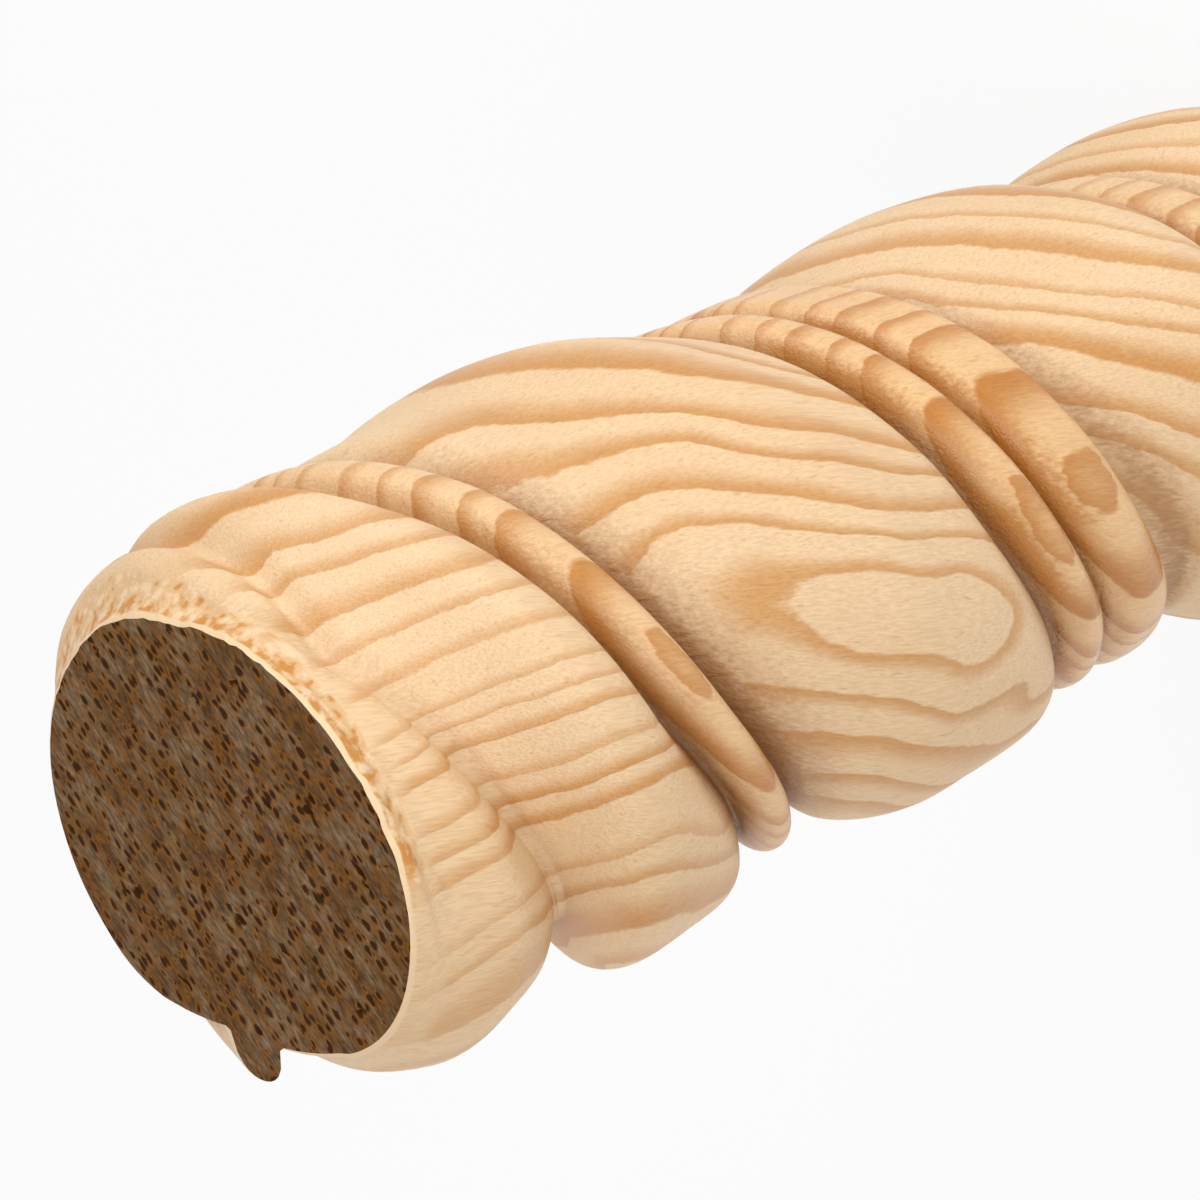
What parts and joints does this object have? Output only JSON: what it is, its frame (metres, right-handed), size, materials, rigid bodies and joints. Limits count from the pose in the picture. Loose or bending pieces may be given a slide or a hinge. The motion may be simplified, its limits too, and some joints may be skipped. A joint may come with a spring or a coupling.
{
  "type": "twisted wooden rod",
  "caption": "Short length of softwood rod carved with a right-handed rope twist of round strands and narrow beads, sawn square at both ends.",
  "frame": {"origin": "centre of the twist's axis on the plain sawn end that the rod stands on", "axes": "+Z along the rod from the plain end to the dark sawn end; +X to the side that faces up in the picture"},
  "size_m": [0.056, 0.056, 0.16],
  "materials": {
    "pine": "bare carved softwood, smooth on the strands, rough sawn on the dark end"
  },
  "bodies": {
    "root": {"twisted_rod": "pine"}
  },
  "joints": []
}
